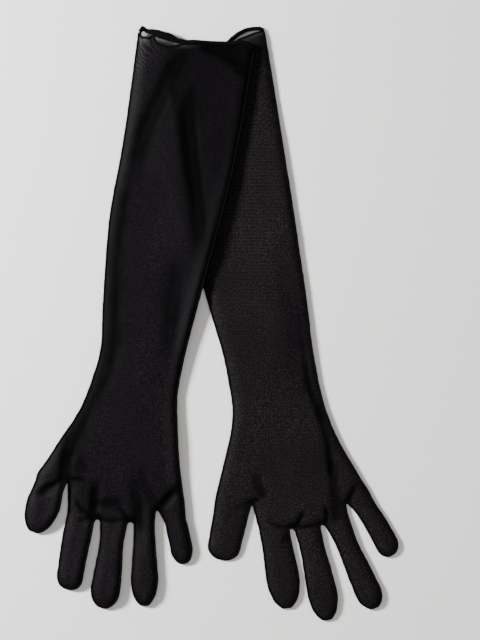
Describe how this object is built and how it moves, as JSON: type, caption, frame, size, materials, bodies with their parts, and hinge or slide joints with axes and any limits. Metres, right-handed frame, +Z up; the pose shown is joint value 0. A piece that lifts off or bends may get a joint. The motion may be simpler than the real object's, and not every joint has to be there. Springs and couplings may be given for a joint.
{
  "type": "opera gloves",
  "caption": "Pair of long sheer mesh opera gloves laid flat, fingers spread, one sleeve crossed over the other at the cuffs.",
  "frame": {"origin": "centre of the pair's footprint, on the surface it lies on", "axes": "+Z up from the surface, +Y along the gloves from the fingertips to the cuffs, +X from the left-hand glove to the right-hand glove"},
  "size_m": [0.3283, 0.5198, 0.0171],
  "materials": {
    "black_mesh": "sheer black power mesh",
    "stitching": "matt black overlock thread and rolled hem"
  },
  "bodies": {
    "right_sleeve": {"right_sleeve_upper": "black_mesh", "right_sleeve_lower": "black_mesh", "right_sleeve_seams": "stitching", "right_cuff_hem_upper": "stitching", "right_cuff_hem_lower": "stitching"},
    "right_hand": {"right_hand_upper": "black_mesh", "right_hand_lower": "black_mesh", "right_hand_seams": "stitching"},
    "right_thumb": {"right_thumb_upper": "black_mesh", "right_thumb_lower": "black_mesh", "right_thumb_seam": "stitching"},
    "right_index": {"right_index_upper": "black_mesh", "right_index_lower": "black_mesh", "right_index_seam": "stitching"},
    "right_middle": {"right_middle_upper": "black_mesh", "right_middle_lower": "black_mesh", "right_middle_seam": "stitching"},
    "right_ring": {"right_ring_upper": "black_mesh", "right_ring_lower": "black_mesh", "right_ring_seam": "stitching"},
    "right_little": {"right_little_upper": "black_mesh", "right_little_lower": "black_mesh", "right_little_seam": "stitching"},
    "left_sleeve": {"left_sleeve_upper": "black_mesh", "left_sleeve_lower": "black_mesh", "left_sleeve_seams": "stitching", "left_cuff_hem_upper": "stitching", "left_cuff_hem_lower": "stitching"},
    "left_hand": {"left_hand_upper": "black_mesh", "left_hand_lower": "black_mesh", "left_hand_seams": "stitching"},
    "left_thumb": {"left_thumb_upper": "black_mesh", "left_thumb_lower": "black_mesh", "left_thumb_seam": "stitching"},
    "left_index": {"left_index_upper": "black_mesh", "left_index_lower": "black_mesh", "left_index_seam": "stitching"},
    "left_middle": {"left_middle_upper": "black_mesh", "left_middle_lower": "black_mesh", "left_middle_seam": "stitching"},
    "left_ring": {"left_ring_upper": "black_mesh", "left_ring_lower": "black_mesh", "left_ring_seam": "stitching"},
    "left_little": {"left_little_upper": "black_mesh", "left_little_lower": "black_mesh", "left_little_seam": "stitching"}
  },
  "joints": [
    {"name": "left_glove_lift", "type": "slide", "parent": "right_sleeve", "child": "left_sleeve", "axis": [0, 0, 1], "range_m": [0, 0.15]},
    {"name": "left_wrist_fold", "type": "hinge", "parent": "left_sleeve", "child": "left_hand", "pos_m": [-0.06754, -0.05725, 0.0077], "axis": [-0.9877, 0.1564, 0], "range_deg": [0, 90]},
    {"name": "left_thumb_fold", "type": "hinge", "parent": "left_hand", "child": "left_thumb", "pos_m": [-0.13942, -0.13419, 0.0077], "axis": [-0.9617, 0.2742, 0], "range_deg": [0, 80]},
    {"name": "left_index_fold", "type": "hinge", "parent": "left_hand", "child": "left_index", "pos_m": [-0.1135, -0.1672, 0.0077], "axis": [-0.9833, 0.1821, 0], "range_deg": [0, 80]},
    {"name": "left_middle_fold", "type": "hinge", "parent": "left_hand", "child": "left_middle", "pos_m": [-0.08486, -0.17075, 0.0077], "axis": [-0.9984, 0.0561, 0], "range_deg": [0, 80]},
    {"name": "left_ring_fold", "type": "hinge", "parent": "left_hand", "child": "left_ring", "pos_m": [-0.05875, -0.1722, 0.0077], "axis": [-0.9999, -0.0164, 0], "range_deg": [0, 80]},
    {"name": "left_little_fold", "type": "hinge", "parent": "left_hand", "child": "left_little", "pos_m": [-0.03522, -0.15814, 0.0077], "axis": [-0.9503, -0.3114, 0], "range_deg": [0, 80]},
    {"name": "right_wrist_fold", "type": "hinge", "parent": "right_sleeve", "child": "right_hand", "pos_m": [0.05613, -0.05725, 0.0077], "axis": [-0.9925, -0.1219, 0], "range_deg": [0, 90]},
    {"name": "right_thumb_fold", "type": "hinge", "parent": "right_hand", "child": "right_thumb", "pos_m": [0.02005, -0.15414, 0.0077], "axis": [-0.9763, 0.2163, 0], "range_deg": [0, 80]},
    {"name": "right_index_fold", "type": "hinge", "parent": "right_hand", "child": "right_index", "pos_m": [0.05523, -0.17945, 0.0077], "axis": [-0.9916, -0.1297, 0], "range_deg": [0, 80]},
    {"name": "right_middle_fold", "type": "hinge", "parent": "right_hand", "child": "right_middle", "pos_m": [0.084, -0.1761, 0.0077], "axis": [-0.9822, -0.1877, 0], "range_deg": [0, 80]},
    {"name": "right_ring_fold", "type": "hinge", "parent": "right_hand", "child": "right_ring", "pos_m": [0.10931, -0.16992, 0.0077], "axis": [-0.8979, -0.4402, 0], "range_deg": [0, 80]},
    {"name": "right_little_fold", "type": "hinge", "parent": "right_hand", "child": "right_little", "pos_m": [0.12789, -0.15011, 0.0077], "axis": [-0.8335, -0.5526, 0], "range_deg": [0, 80]}
  ]
}
